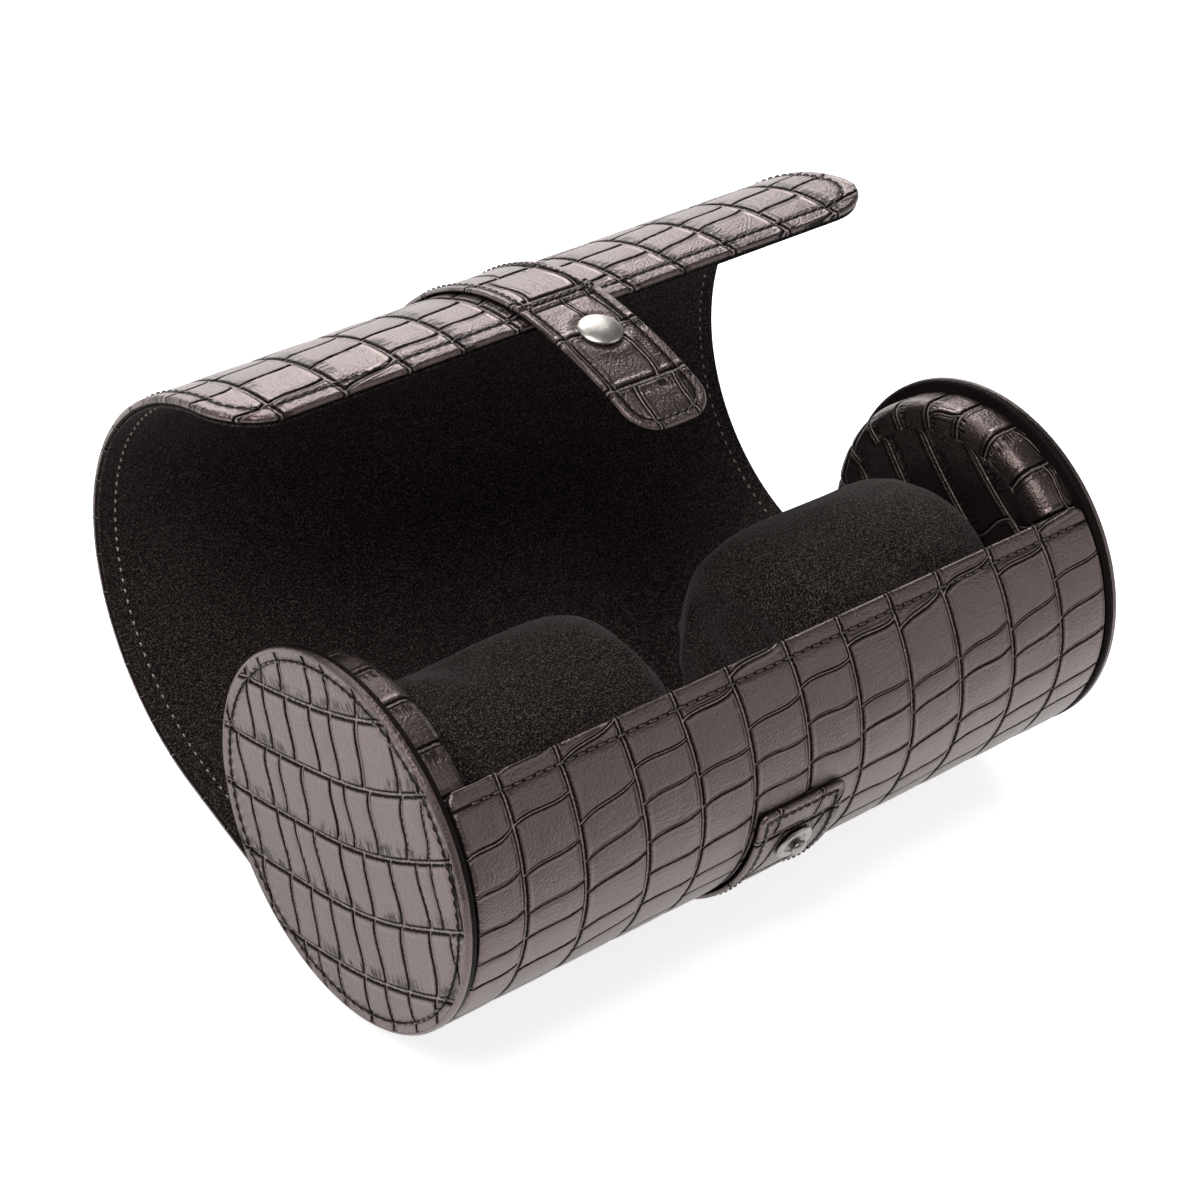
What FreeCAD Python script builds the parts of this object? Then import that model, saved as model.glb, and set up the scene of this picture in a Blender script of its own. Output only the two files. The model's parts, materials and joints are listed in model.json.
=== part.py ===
"""Roll-shaped watch storage case: two round end caps, a wrap of padded leatherette that forms the front
wall, the floor and the folding lid, a strap with a snap, and two lift-out pillows.

X runs along the case, +Y points to the back where the open lid lies, +Z is up.
The origin is on the table, under the middle of the case, on the strap's flat underside.
Angles of the wrap are measured about the X axis from straight down, positive towards the back.
"""
import FreeCAD
import Part

import math
import os

doc = FreeCAD.newDocument("watch_roll")
sheet = doc.addObject("Spreadsheet::Sheet", "dims")

# Driving dimensions, in millimetres and degrees
DIMENSIONS = (
    ("case_length", 175.0, "over the two end faces"),
    ("case_diameter", 80.0, "of the end faces and of the wrap's outside"),
    ("skin", 0.9, "embossed leatherette"),
    ("board", 1.1, "stiffener between skin and lining"),
    ("lining", 0.6, "velvet"),
    ("front_angle", 152.7, "from the bottom up to the front wall's edge"),
    ("base_run", 16.0, "flat part of the base behind the bottom line"),
    ("flat_run", 47.4, "flat part of the wrap behind the bottom line, in all"),
    ("lid_radius", 49.2, "outside of the open lid's curve"),
    ("lid_angle", 167.1, "of the open lid's curve, all three panels"),
    ("lid_corner", 13.0, "corner radius at the lid's free edge"),
    ("wrap_gap", 0.4, "between the wrap's ends and the end faces"),
    ("face_depth", 3.0, "end face, card covered with leatherette"),
    ("face_round", 0.9, "rounding of the end face's edges"),
    ("core_depth", 7.0, "board core of an end cap"),
    ("core_round", 2.2, "rounding of the core's inner edge"),
    ("cap_leather", 1.0, "leatherette round the core and on the inner face"),
    ("cap_turn", 5.0, "how far the core's wrap turns over the inner face"),
    ("strap", 1.4, "thickness of the strap"),
    ("strap_width", 20.0, "strap on the lid, and the tongue"),
    ("strap_shift", -3.5, "strap's centre line along the case"),
    ("tab_width", 23.0, "strap under the base, and the front tab"),
    ("tab_angle", 105.2, "from the bottom up to the front tab's edge"),
    ("tongue_length", 36.6, "free end of the strap"),
    ("tongue_bend", 105.0, "radius of the tongue's droop"),
    ("tongue_corner", 7.0, "corner radius at the tongue's end"),
    ("tongue_gap", 0.1, "between the tongue's root and the lid's edge"),
    ("backing", 1.2, "second layer under the tongue"),
    ("backing_start", 3.0, "from the tongue's root to its backing"),
    ("backing_inset", 1.0, "backing's edge inside the tongue's edge"),
    ("snap_reach", 9.9, "snap's centre from the lid's free edge"),
    ("snap_cap_diameter", 9.2, "domed cap on the tongue"),
    ("snap_cap_rim", 0.5, "height of the cap at its edge"),
    ("snap_cap_height", 1.5, "height of the cap at its centre"),
    ("rivet_diameter", 6.2, "tube of the snap's cap through the tongue"),
    ("snap_bore", 5.2, "hollow of the tube and of the socket"),
    ("socket_diameter", 10.0, "socket under the tongue"),
    ("socket_height", 0.8, "socket below the backing"),
    ("stud_angle", 88.2, "from the bottom up to the stud, at the front"),
    ("stud_diameter", 9.0, "stud's flange"),
    ("stud_flange", 0.6, "thickness of the flange"),
    ("post_diameter", 3.0, "neck of the stud"),
    ("ball_diameter", 3.8, "head of the stud"),
    ("post_height", 2.6, "stud above the tab"),
    ("shank_diameter", 2.4, "stud's rivet through tab and skin"),
    ("clench_diameter", 8.0, "rivet's washer behind the skin"),
    ("clench", 0.7, "thickness of that washer"),
    ("pillow_width", 52.0, "across the case"),
    ("pillow_height", 61.0, "crown to underside"),
    ("pillow_cover", 1.0, "velvet cover over the foam"),
    ("pillow_tilt", 21.9, "pillows lean back with the case's mouth"),
    ("pillow_space", 28.4, "between the two pillows"),
    ("pillow_end_gap", 1.3, "between a pillow's end and the end cap"),
    ("pillow_seat", 0.3, "clearance to the lining"),
    ("overshoot", 1.0, "how far a cutting tool reaches past the faces it cuts"),
)
for row, (alias, size, note) in enumerate(DIMENSIONS, start=1):
    sheet.set(f"A{row}", alias)
    sheet.set(f"B{row}", str(size))
    sheet.set(f"C{row}", note)
    sheet.setAlias(f"B{row}", alias)
doc.recompute()


def size(alias):
    return float(sheet.get(alias))


# Sizes that follow from the driving ones, as expressions on the sheet
RIM = "dims.case_diameter / 2"
WRAP = "(dims.skin + dims.board + dims.lining)"
AXIS_Z = f"({RIM} + dims.strap)"
WRAP_LENGTH = "(dims.case_length - 2 * dims.face_depth - 2 * dims.wrap_gap)"
LID_Z = "(dims.strap + dims.lid_radius)"
CORE_RADIUS = f"({RIM} - {WRAP} - dims.cap_leather)"
LID_PANELS = ("lower", "middle", "upper")
PANEL_ARC = f"dims.lid_angle / {len(LID_PANELS)}"
HINGE_RUN = "(dims.flat_run - dims.base_run) / 2"

# Layers of the wrap: name, depth of the outer face and of the inner face below the wrap's outside
LAYERS = {
    "skin": ("0", "dims.skin"),
    "board": ("dims.skin", "(dims.skin + dims.board)"),
    "lining": ("(dims.skin + dims.board)", WRAP),
    "hinge_lining": ("dims.skin", WRAP),
    "strap": ("-dims.strap", "0"),
}

# The same sizes as numbers, for placements and for the soft forms
rim = size("case_diameter") / 2
wrap = size("skin") + size("board") + size("lining")
axis_z = rim + size("strap")
wrap_length = size("case_length") - 2 * size("face_depth") - 2 * size("wrap_gap")
lid_y = size("flat_run")
lid_z = size("strap") + size("lid_radius")
X_AXIS = FreeCAD.Vector(1, 0, 0)
ALONG_X = FreeCAD.Rotation(FreeCAD.Vector(0, 1, 0), 90)
parts = []


def bind(obj, **sizes):
    for prop, expression in sizes.items():
        obj.setExpression(prop, str(expression))
    return obj


def keep(obj, label):
    """Marks a finished sub-part, whose label names its file."""
    obj.Label = label
    parts.append(obj)
    return obj


def tool_body(kind, name):
    return doc.addObject(f"Part::{kind}", name)


def cut(name, base, tool):
    obj = doc.addObject("Part::Cut", name)
    obj.Base = base
    obj.Tool = tool
    return obj


def fuse(name, *shapes):
    obj = doc.addObject("Part::MultiFuse", name)
    obj.Shapes = list(shapes)
    obj.Refine = True
    return obj


def cylinder_along_x(name, radius, length, middle="0", y="0", z=AXIS_Z, start=0.0, sweep="360"):
    """A cylinder, or a wedge of one, with its middle at x = middle."""
    obj = tool_body("Cylinder", name)
    turned = FreeCAD.Rotation(FreeCAD.Vector(0, 0, 1), start)
    obj.Placement = FreeCAD.Placement(FreeCAD.Vector(), ALONG_X * turned)
    bind(obj, Radius=radius, Height=length, Angle=sweep)
    obj.setExpression("Placement.Base.x", f"{middle} - ({length}) / 2")
    obj.setExpression("Placement.Base.y", y)
    obj.setExpression("Placement.Base.z", z)
    return obj


def curved_layer(name, layer, radius, length, middle="0", y="0", z=AXIS_Z, start=0.0, sweep="360"):
    """One layer of the wrap, bent about an axis along X."""
    outer_depth, inner_depth = LAYERS[layer]
    outside = cylinder_along_x(f"{name}_outside", f"{radius} - {outer_depth}", length, middle, y, z,
                               start, sweep)
    inside = cylinder_along_x(f"{name}_inside", f"{radius} - {inner_depth}",
                              f"{length} + 2 * dims.overshoot", middle, y, z)
    return cut(name, outside, inside)


def flat_layer(name, layer, y, run, length, middle="0"):
    """One layer of the wrap where it lies flat on the table."""
    outer_depth, inner_depth = LAYERS[layer]
    obj = tool_body("Box", name)
    bind(obj, Length=length, Width=run, Height=f"({inner_depth}) - ({outer_depth})")
    obj.setExpression("Placement.Base.x", f"{middle} - ({length}) / 2")
    obj.setExpression("Placement.Base.y", y)
    obj.setExpression("Placement.Base.z", f"dims.strap + ({outer_depth})")
    return obj


def frame_at(x, y, z, heading):
    """A local frame on the wrap: x along the case, y along the wrap, z into the case."""
    return FreeCAD.Placement(FreeCAD.Vector(x, y, z), FreeCAD.Rotation(X_AXIS, heading))


def hollow_depth(radius, diameter):
    """How far a flat disc stands off the middle of a hollow cylinder that it rests in."""
    return radius - math.sqrt(radius ** 2 - (diameter / 2) ** 2)


def put(obj, frame, x=0.0, y=0.0, z=0.0):
    local = FreeCAD.Placement(FreeCAD.Vector(x, y, z), FreeCAD.Rotation())
    obj.Placement = frame.multiply(local)
    return obj


def corner_cutters(name, frame, width, radius):
    """Two tools that round the corners of an edge; the frame's origin is the edge's middle."""
    margin = size("overshoot")
    half = width / 2
    corner = size(radius)
    tools = []
    for side in (-1, 1):
        block = tool_body("Box", f"{name}_block_{side + 1}")
        side_length = f"dims.{radius} + dims.overshoot"
        bind(block, Length=side_length, Width=side_length, Height=f"2 * dims.{radius}")
        left = half - corner if side > 0 else -half - margin
        put(block, frame, left, -corner, -corner)
        pin = tool_body("Cylinder", f"{name}_pin_{side + 1}")
        bind(pin, Radius=f"dims.{radius}", Height=f"2 * dims.{radius} + 2 * dims.overshoot")
        put(pin, frame, side * (half - corner), -corner, -corner - margin)
        tools.append(cut(f"{name}_cutter_{side + 1}", block, pin))
    return fuse(f"{name}_cutters", *tools)


def local_cylinder(name, frame, radius, height, z=0.0):
    obj = tool_body("Cylinder", name)
    bind(obj, Radius=radius, Height=height)
    return put(obj, frame, z=z)


def rounded(disc, name, radius, both_ends):
    """Rounds a disc's circular edges: both of them, or only the one nearest the case's middle."""
    rings = [(abs(edge.CenterOfMass.x), index) for index, edge in enumerate(disc.Shape.Edges, start=1)
             if len(edge.Vertexes) == 1]
    rings.sort()
    chosen = rings if both_ends else rings[:1]
    obj = doc.addObject("Part::Fillet", name)
    obj.Base = disc
    obj.Edges = [(index, radius, radius) for _, index in chosen]
    return obj


# Snap stud on the front tab, riveted through tab and skin
stud_turn = math.radians(size("stud_angle"))
stud_frame = frame_at(size("strap_shift"), -(rim + size("strap")) * math.sin(stud_turn),
                      axis_z - (rim + size("strap")) * math.cos(stud_turn), -size("stud_angle"))
post_neck = size("post_height") - size("ball_diameter") / 2
flange = local_cylinder("stud_flange", stud_frame, "dims.stud_diameter / 2", "dims.stud_flange",
                        -size("stud_flange"))
neck = local_cylinder("stud_neck", stud_frame, "dims.post_diameter / 2",
                      "dims.post_height - dims.ball_diameter / 2", -post_neck)
# The ball ends flat on the tab
ball = bind(tool_body("Sphere", "stud_ball"), Radius="dims.ball_diameter / 2",
            Angle2="asin((2 * dims.post_height - dims.ball_diameter) / dims.ball_diameter)")
put(ball, stud_frame, z=-post_neck)
clench_seat = size("strap") + size("skin") + hollow_depth(rim - size("skin"), size("clench_diameter"))
shank = local_cylinder("stud_shank", stud_frame, "dims.shank_diameter / 2", clench_seat)
clench = local_cylinder("stud_clench", stud_frame, "dims.clench_diameter / 2", "dims.clench", clench_seat)
overshoot = size("overshoot")
shank_hole = local_cylinder("stud_shank_hole", stud_frame, "dims.shank_diameter / 2",
                            "dims.strap + dims.skin + 2 * dims.overshoot", -overshoot)
clench_hole = local_cylinder("stud_clench_hole", stud_frame, "dims.clench_diameter / 2",
                             "dims.board + 2 * dims.overshoot", size("strap") + size("skin") - overshoot)

# Base: front wall and floor, one curved sheet that runs flat behind the bottom line
base_holes = {"skin": shank_hole, "board": clench_hole, "strap": shank_hole}
for layer in ("skin", "board", "lining", "strap"):
    if layer == "strap":
        where = {"length": "dims.tab_width", "middle": "dims.strap_shift"}
        edge = "tab_angle"
    else:
        where = {"length": WRAP_LENGTH}
        edge = "front_angle"
    wall = curved_layer(f"wall_{layer}", layer, RIM, start=-size(edge), sweep=f"dims.{edge}", **where)
    floor = flat_layer(f"floor_{layer}", layer, "0", "dims.base_run", **where)
    sheet_part = fuse(f"base_{layer}_sheet", wall, floor)
    if layer in base_holes:
        sheet_part = cut(f"base_{layer}_holed", sheet_part, base_holes[layer])
    keep(sheet_part, f"base_{layer}")
keep(fuse("stud_whole", flange, neck, ball, shank), "snap_stud")
keep(clench, "stud_washer")

# End caps: embossed face, board core, leatherette round the core, leatherette inner face
for side, sign in (("left", -1), ("right", 1)):
    face_middle = f"{sign} * (dims.case_length - dims.face_depth) / 2"
    face_inside = "(dims.case_length / 2 - dims.face_depth)"
    core_middle = f"{sign} * ({face_inside} - dims.core_depth / 2)"
    wrap_depth = "(dims.core_depth + dims.cap_leather)"
    wrap_middle = f"{sign} * ({face_inside} - {wrap_depth} / 2)"
    skin_middle = f"{sign} * ({face_inside} - dims.core_depth - dims.cap_leather / 2)"
    face = cylinder_along_x(f"{side}_face_disc", RIM, "dims.face_depth", face_middle)
    core = cylinder_along_x(f"{side}_core_disc", CORE_RADIUS, "dims.core_depth", core_middle)
    jacket = cylinder_along_x(f"{side}_jacket", f"{CORE_RADIUS} + dims.cap_leather", wrap_depth, wrap_middle)
    window = cylinder_along_x(f"{side}_window", f"{CORE_RADIUS} - dims.cap_turn",
                              f"{wrap_depth} + 2 * dims.overshoot", wrap_middle)
    inner = cylinder_along_x(f"{side}_inner_disc", f"{CORE_RADIUS} - dims.cap_turn", "dims.cap_leather",
                             skin_middle)
    doc.recompute()
    core_round = rounded(core, f"{side}_core_rounded", size("core_round"), False)
    jacket_round = rounded(jacket, f"{side}_jacket_rounded", size("core_round") + size("cap_leather"), False)
    keep(rounded(face, f"{side}_face_rounded", size("face_round"), True), f"{side}_cap_face")
    keep(core_round, f"{side}_cap_core")
    keep(cut(f"{side}_jacket_open", cut(f"{side}_jacket_shell", jacket_round, core_round), window),
         f"{side}_cap_wrap")
    keep(inner, f"{side}_cap_lining")

# Two flexible hinge strips between base and lid: skin, velvet and strap, with no board
for index, letter in enumerate("ab"):
    start_y = f"(dims.base_run + {index} * {HINGE_RUN})"
    for layer, label in (("skin", "skin"), ("hinge_lining", "lining"), ("strap", "strap")):
        if layer == "strap":
            where = {"length": "dims.strap_width", "middle": "dims.strap_shift"}
        else:
            where = {"length": WRAP_LENGTH}
        keep(flat_layer(f"hinge_{letter}_{label}_sheet", layer, start_y, HINGE_RUN, **where),
             f"hinge_{letter}_{label}")

# Lid: three curved panels; the free edge of the upper one has rounded corners
lid_end = math.radians(size("lid_angle"))
lid_edge = frame_at(0, lid_y + size("lid_radius") * math.sin(lid_end),
                    lid_z - size("lid_radius") * math.cos(lid_end), size("lid_angle"))
lid_corners = corner_cutters("lid_corner", lid_edge, wrap_length, "lid_corner")
for index, panel in enumerate(LID_PANELS):
    turn = index * size("lid_angle") / len(LID_PANELS)
    for layer in ("skin", "board", "lining", "strap"):
        if layer == "strap":
            where = {"length": "dims.strap_width", "middle": "dims.strap_shift"}
        else:
            where = {"length": WRAP_LENGTH}
        piece = curved_layer(f"lid_{panel}_{layer}_sheet", layer, "dims.lid_radius", y="dims.flat_run",
                             z=LID_Z, start=turn, sweep=PANEL_ARC, **where)
        if panel == "upper" and layer != "strap":
            piece = cut(f"lid_{panel}_{layer}_trimmed", piece, lid_corners)
        keep(piece, f"lid_{panel}_{layer}")

# Tongue: the strap's free end, which droops a little, with its backing and the snap's upper half
bend = size("tongue_bend")
bend_shift = bend - size("lid_radius")
bend_y = lid_y - bend_shift * math.sin(lid_end)
bend_z = lid_z + bend_shift * math.cos(lid_end)
root_radius = size("strap") / 2


def on_tongue(distance, radius, x=size("strap_shift")):
    """The local frame at a distance along the tongue from the lid's edge, on a given radius."""
    turn = size("lid_angle") + math.degrees(distance / bend)
    return frame_at(x, bend_y + radius * math.sin(math.radians(turn)),
                    bend_z - radius * math.cos(math.radians(turn)), turn)


root_distance = root_radius + size("tongue_gap")
root_turn = size("lid_angle") + math.degrees(root_distance / bend)
tongue_sweep = math.degrees((size("tongue_length") - root_distance) / bend)
tongue_arc = curved_layer("tongue_arc", "strap", "dims.tongue_bend", "dims.strap_width", "dims.strap_shift",
                          str(bend_y), str(bend_z), root_turn, str(tongue_sweep))
root_frame = on_tongue(root_distance, bend + root_radius)
root = cylinder_along_x("tongue_root", "dims.strap / 2", "dims.strap_width", "dims.strap_shift",
                        str(root_frame.Base.y), str(root_frame.Base.z))
tongue_corners = corner_cutters("tongue_corner", on_tongue(size("tongue_length"), bend),
                                size("strap_width"), "tongue_corner")
backing_turn = root_turn + math.degrees(size("backing_start") / bend)
backing_end = size("tongue_length") - size("backing_inset")
backing_sweep = size("lid_angle") + math.degrees(backing_end / bend) - backing_turn
backing_width = "(dims.strap_width - 2 * dims.backing_inset)"
LAYERS["backing"] = ("0", "dims.backing")
backing_arc = curved_layer("backing_arc", "backing", "dims.tongue_bend", backing_width, "dims.strap_shift",
                           str(bend_y), str(bend_z), backing_turn, str(backing_sweep))
backing_corners = corner_cutters("backing_corner", on_tongue(backing_end, bend),
                                 size("strap_width") - 2 * size("backing_inset"), "tongue_corner")
snap_frame = on_tongue(size("snap_reach"), bend + size("strap"))
rivet_hole = local_cylinder("rivet_hole", snap_frame, "dims.rivet_diameter / 2",
                            "dims.strap + dims.backing + 2 * dims.overshoot", -overshoot)
tongue_whole = fuse("tongue_whole", tongue_arc, root)
keep(cut("tongue_holed", cut("tongue_trimmed", tongue_whole, tongue_corners), rivet_hole), "tongue_strap")
keep(cut("backing_holed", cut("backing_trimmed", backing_arc, backing_corners), rivet_hole), "tongue_backing")

cap_radius = size("snap_cap_diameter") / 2
dome_rise = size("snap_cap_height") - size("snap_cap_rim")
dome_radius = (cap_radius ** 2 + dome_rise ** 2) / (2 * dome_rise)
cap_disc = local_cylinder("cap_disc", snap_frame, "dims.snap_cap_diameter / 2", "dims.snap_cap_height",
                          -size("snap_cap_height"))
dome = bind(tool_body("Sphere", "cap_dome"), Radius=dome_radius)
put(dome, snap_frame, z=dome_radius - size("snap_cap_height"))
cap_top = doc.addObject("Part::Common", "cap_top")
cap_top.Base = cap_disc
cap_top.Tool = dome
socket_z = size("strap") + size("backing") + hollow_depth(bend - size("backing"), size("socket_diameter"))
rivet = local_cylinder("cap_rivet", snap_frame, "dims.rivet_diameter / 2", socket_z)
rivet_bore = local_cylinder("cap_rivet_bore", snap_frame, "dims.snap_bore / 2",
                            f"{socket_z} + dims.overshoot")
keep(fuse("cap_whole", cap_top, cut("cap_tube", rivet, rivet_bore)), "snap_cap")
socket_disc = local_cylinder("socket_disc", snap_frame, "dims.socket_diameter / 2", "dims.socket_height",
                             socket_z)
socket_bore = local_cylinder("socket_bore", snap_frame, "dims.snap_bore / 2",
                             "dims.socket_height + 2 * dims.overshoot", socket_z - overshoot)
keep(cut("socket_ring", socket_disc, socket_bore), "snap_socket")

# Pillows: foam cores in velvet covers, an oval along the case, crowned in the middle and drawn in at the ends
# Each pair is a share of the pillow's length and the share of its full section there
PILLOW_RATIOS = ((0.0, 0.84), (0.05, 0.93), (0.18, 0.985), (0.5, 1.0),
                 (0.82, 0.985), (0.95, 0.93), (1.0, 0.84))


def oval(x, half_width, half_height):
    """A closed oval of four arcs, tangent to each other, across the X axis."""
    offset = (half_height - half_width) / (2 - math.sqrt(2))
    top_radius = half_height - offset
    side_radius = half_width + offset
    slant = math.sqrt(0.5)
    joint_y = top_radius * slant
    joint_z = offset + top_radius * slant
    corners = ((joint_y, joint_z), (-joint_y, joint_z), (-joint_y, -joint_z), (joint_y, -joint_z))
    middles = ((0, half_height), (offset - side_radius, 0), (0, -half_height), (side_radius - offset, 0))
    arcs = []
    for index, middle in enumerate(middles):
        start = FreeCAD.Vector(x, *corners[index])
        end = FreeCAD.Vector(x, *corners[(index + 1) % len(corners)])
        arcs.append(Part.Arc(start, FreeCAD.Vector(x, *middle), end).toShape())
    return Part.Wire(arcs)


def pillow_form(inset):
    """The pillow's solid, drawn in all round by an inset."""
    length = pillow_length - 2 * inset
    half_width = size("pillow_width") / 2 - inset
    half_height = size("pillow_height") / 2 - inset
    wires = [oval((share - 0.5) * length, half_width * swell, half_height * swell)
             for share, swell in PILLOW_RATIOS]
    return Part.makeLoft(wires, True, False)


cap_inside = size("case_length") / 2 - size("face_depth") - size("core_depth") - size("cap_leather")
pillow_length = cap_inside - size("pillow_end_gap") - size("pillow_space") / 2
pillow_drop = rim - wrap - size("pillow_seat") - size("pillow_height") / 2
tilt = math.radians(size("pillow_tilt"))
for side, sign in (("left", -1), ("right", 1)):
    pillow_x = sign * (size("pillow_space") + pillow_length) / 2
    seat = FreeCAD.Placement(FreeCAD.Vector(pillow_x, -pillow_drop * math.sin(tilt),
                                            axis_z - pillow_drop * math.cos(tilt)),
                             FreeCAD.Rotation(X_AXIS, -size("pillow_tilt")))
    whole = pillow_form(0.0)
    foam = pillow_form(size("pillow_cover"))
    for label, shape in (("cover", whole.cut(foam)), ("core", foam)):
        piece = doc.addObject("Part::Feature", f"{side}_pillow_{label}_form")
        piece.Shape = shape
        piece.Placement = seat
        keep(piece, f"{side}_pillow_{label}")

doc.recompute()
for obj in doc.Objects:
    if "Invalid" in obj.State or "Error" in obj.State:
        raise RuntimeError(f"{obj.Name} failed: {obj.State}")
for obj in parts:
    shape = obj.Shape
    if shape.isNull() or not shape.isValid() or len(shape.Solids) != 1:
        raise RuntimeError(f"{obj.Label} is not one valid solid")

os.makedirs("parts", exist_ok=True)
for obj in parts:
    obj.Shape.exportStep(os.path.join("parts", f"{obj.Label}.step"))
print(f"{len(parts)} parts written")
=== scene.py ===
"""Looks of the watch roll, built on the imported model.

The wrap, its velvet and its strap are modelled laid flat: x runs along the case and s along the wrap's
outside, zero on the bottom line, negative up the front wall and positive towards the lid. wrap_point bends
them into place. Lengths are in metres, and the materials' maps in millimetres.
"""
import json
import math

import bmesh
import bpy
import numpy as np
from mathutils import Matrix, Vector


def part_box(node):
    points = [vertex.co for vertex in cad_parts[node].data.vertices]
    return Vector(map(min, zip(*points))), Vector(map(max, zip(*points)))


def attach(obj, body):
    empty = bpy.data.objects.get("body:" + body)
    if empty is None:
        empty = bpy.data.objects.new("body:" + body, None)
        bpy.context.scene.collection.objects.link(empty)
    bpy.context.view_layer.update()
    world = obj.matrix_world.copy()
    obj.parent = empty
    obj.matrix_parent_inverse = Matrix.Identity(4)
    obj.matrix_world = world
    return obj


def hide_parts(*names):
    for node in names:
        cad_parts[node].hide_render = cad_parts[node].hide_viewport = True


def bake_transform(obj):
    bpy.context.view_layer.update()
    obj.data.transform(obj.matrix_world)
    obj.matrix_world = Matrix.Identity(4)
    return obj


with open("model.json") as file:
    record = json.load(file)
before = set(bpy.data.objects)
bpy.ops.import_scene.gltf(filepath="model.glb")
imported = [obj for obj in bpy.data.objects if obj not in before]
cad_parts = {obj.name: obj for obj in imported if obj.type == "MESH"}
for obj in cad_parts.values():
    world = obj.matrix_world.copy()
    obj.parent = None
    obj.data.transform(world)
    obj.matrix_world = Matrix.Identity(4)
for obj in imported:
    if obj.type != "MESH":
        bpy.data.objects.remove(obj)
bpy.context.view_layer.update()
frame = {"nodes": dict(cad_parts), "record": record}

scene = bpy.context.scene
MM = 0.001
TINY = 1e-9
SIDES = (("left", -1), ("right", 1))


def node_size(node):
    low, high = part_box(node)
    return high - low


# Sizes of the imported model
disc_low, disc_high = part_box("left_cap_face")
RIM = (disc_high.z - disc_low.z) / 2
AXIS_Z = (disc_high.z + disc_low.z) / 2
FACE_X = -disc_low.x
FACE_DEPTH = disc_high.x - disc_low.x
STRAP = node_size("hinge_a_strap").z
WRAP = node_size("hinge_a_skin").z + node_size("hinge_a_lining").z
HALF_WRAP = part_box("base_skin")[1].x
HINGE_A_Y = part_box("hinge_a_skin")[0].y
HINGE_B_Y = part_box("hinge_b_skin")[0].y
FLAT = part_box("hinge_b_skin")[1].y
LID_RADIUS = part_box("lid_middle_skin")[1].y - FLAT
LID_Z = STRAP + LID_RADIUS
FRONT_ANGLE = math.acos((AXIS_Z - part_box("base_skin")[1].z) / RIM)
TAB_ANGLE = math.acos((AXIS_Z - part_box("base_strap")[1].z) / (RIM + STRAP))
LID_ANGLE = math.acos((LID_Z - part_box("lid_upper_skin")[1].z) / LID_RADIUS)
STRAP_X = sum(corner.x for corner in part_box("hinge_a_strap")) / 2
STRAP_HALF = node_size("hinge_a_strap").x / 2
TAB_HALF = node_size("base_strap").x / 2

# Sizes that the boxes don't give
LINING = 0.6 * MM
LID_CORNER = 13.0 * MM
FRONT_CORNER = 2.5 * MM
TAB_CORNER = 2.0 * MM
TONGUE_BEND = 105.0 * MM
TONGUE_LENGTH = 36.6 * MM
TONGUE_CORNER = 7.0 * MM
BACKING = 1.2 * MM
BACKING_INSET = 1.0 * MM
BACKING_START = 3.8 * MM
SNAP_REACH = 9.9 * MM
RIVET_RADIUS = 3.1 * MM
STITCH_INSET = 3.6 * MM
FACE_STITCH = 2.7 * MM
STRAP_STITCH = 2.1 * MM

# Places along the wrap
FRONT_S = -RIM * FRONT_ANGLE
TAB_S = -RIM * TAB_ANGLE
FREE_S = FLAT + LID_RADIUS * LID_ANGLE
STRAP_END = FREE_S - STITCH_INSET
SNAP_S = FREE_S + SNAP_REACH
PANEL = LID_RADIUS * LID_ANGLE / 3
BEND_Y = FLAT - (TONGUE_BEND - LID_RADIUS) * math.sin(LID_ANGLE)
BEND_Z = LID_Z + (TONGUE_BEND - LID_RADIUS) * math.cos(LID_ANGLE)
CHAIN = ("base", "hinge_a", "hinge_b", "lid_lower", "lid_middle", "lid_upper")
JOINTS_S = (HINGE_A_Y, HINGE_B_Y, FLAT, FLAT + PANEL, FLAT + 2 * PANEL)
SEAMS = tuple((a + b) / 2 for a, b in zip(JOINTS_S[:-1], JOINTS_S[1:]))
SPANS = (-FLAT, *SEAMS, FREE_S)


def arc_angle(s):
    """Angle of the wrap's outward side from straight down, positive to the back."""
    s = np.asarray(s, float)
    front = np.minimum(s, 0) / RIM
    lid = np.clip(s - FLAT, 0, FREE_S - FLAT) / LID_RADIUS
    tongue = np.maximum(s - FREE_S, 0) / TONGUE_BEND
    return front + lid + tongue


def wrap_normal(s):
    angle = arc_angle(s)
    return np.stack([np.zeros_like(angle), np.sin(angle), -np.cos(angle)], axis=-1)


def wrap_point(x, s, depth):
    """Place of a point laid flat; depth is measured inwards from the wrap's outside."""
    x, s, depth = np.broadcast_arrays(np.asarray(x, float), s, depth)
    angle = arc_angle(s)
    y = np.array(s, float)
    z = STRAP + np.array(depth, float)
    arcs = ((s < 0, 0.0, AXIS_Z, RIM), ((s > FLAT) & (s <= FREE_S), FLAT, LID_Z, LID_RADIUS),
            (s > FREE_S, BEND_Y, BEND_Z, TONGUE_BEND))
    for inside, centre_y, centre_z, radius in arcs:
        reach = radius - depth
        y = np.where(inside, centre_y + reach * np.sin(angle), y)
        z = np.where(inside, centre_z - reach * np.cos(angle), z)
    return np.stack([x, y, z], axis=-1)


def cap_point(x, radius, angle):
    """Place on a ring about the case's long axis."""
    x, radius, angle = np.broadcast_arrays(x, radius, angle)
    return np.stack([x, radius * np.sin(angle), AXIS_Z - radius * np.cos(angle)], axis=-1)


# Meshes

# Marks that the leatherette's material reads, with their values on a plain surface: signed distances in
# millimetres from a long groove, a cross groove and a row of stitches, and the strength of the wrinkles.
NO_MARKS = {"line": 9.0, "cross": 9.0, "seam": 9.0, "comb": 0.0}


def new_object(name, data):
    obj = bpy.data.objects.new(name, data)
    scene.collection.objects.link(obj)
    return obj


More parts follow.
